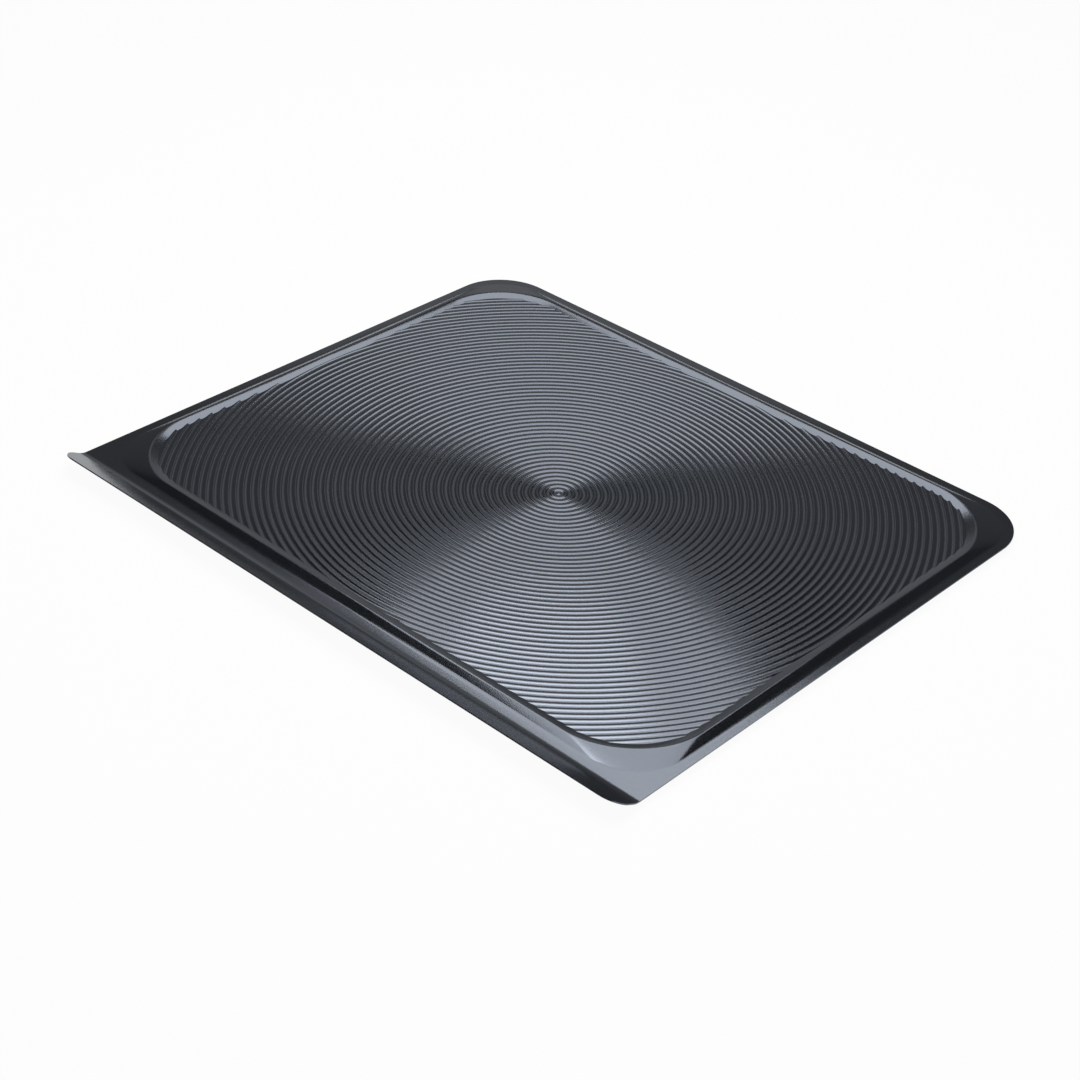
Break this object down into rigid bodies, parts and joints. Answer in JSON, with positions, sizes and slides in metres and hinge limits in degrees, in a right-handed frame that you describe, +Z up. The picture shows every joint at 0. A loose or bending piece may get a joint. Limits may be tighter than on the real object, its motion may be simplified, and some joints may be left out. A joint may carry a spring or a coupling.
{
  "type": "baking sheet",
  "caption": "Flat rectangular baking sheet with a raised edge, a shallow dished panel with fine concentric rings, and one long side folded up as a grip flap.",
  "frame": {"origin": "under the middle of the whole sheet, flap included, at the height of the bottom of the dish on which it rests", "axes": "+X along the long sides, +Y from the grip flap to the far side, +Z up out of the panel"},
  "size_m": [0.406, 0.3496, 0.012],
  "materials": {
    "coated_steel": "dark non-stick coating, satin"
  },
  "bodies": {
    "root": {"baking_sheet": "coated_steel"}
  },
  "joints": []
}
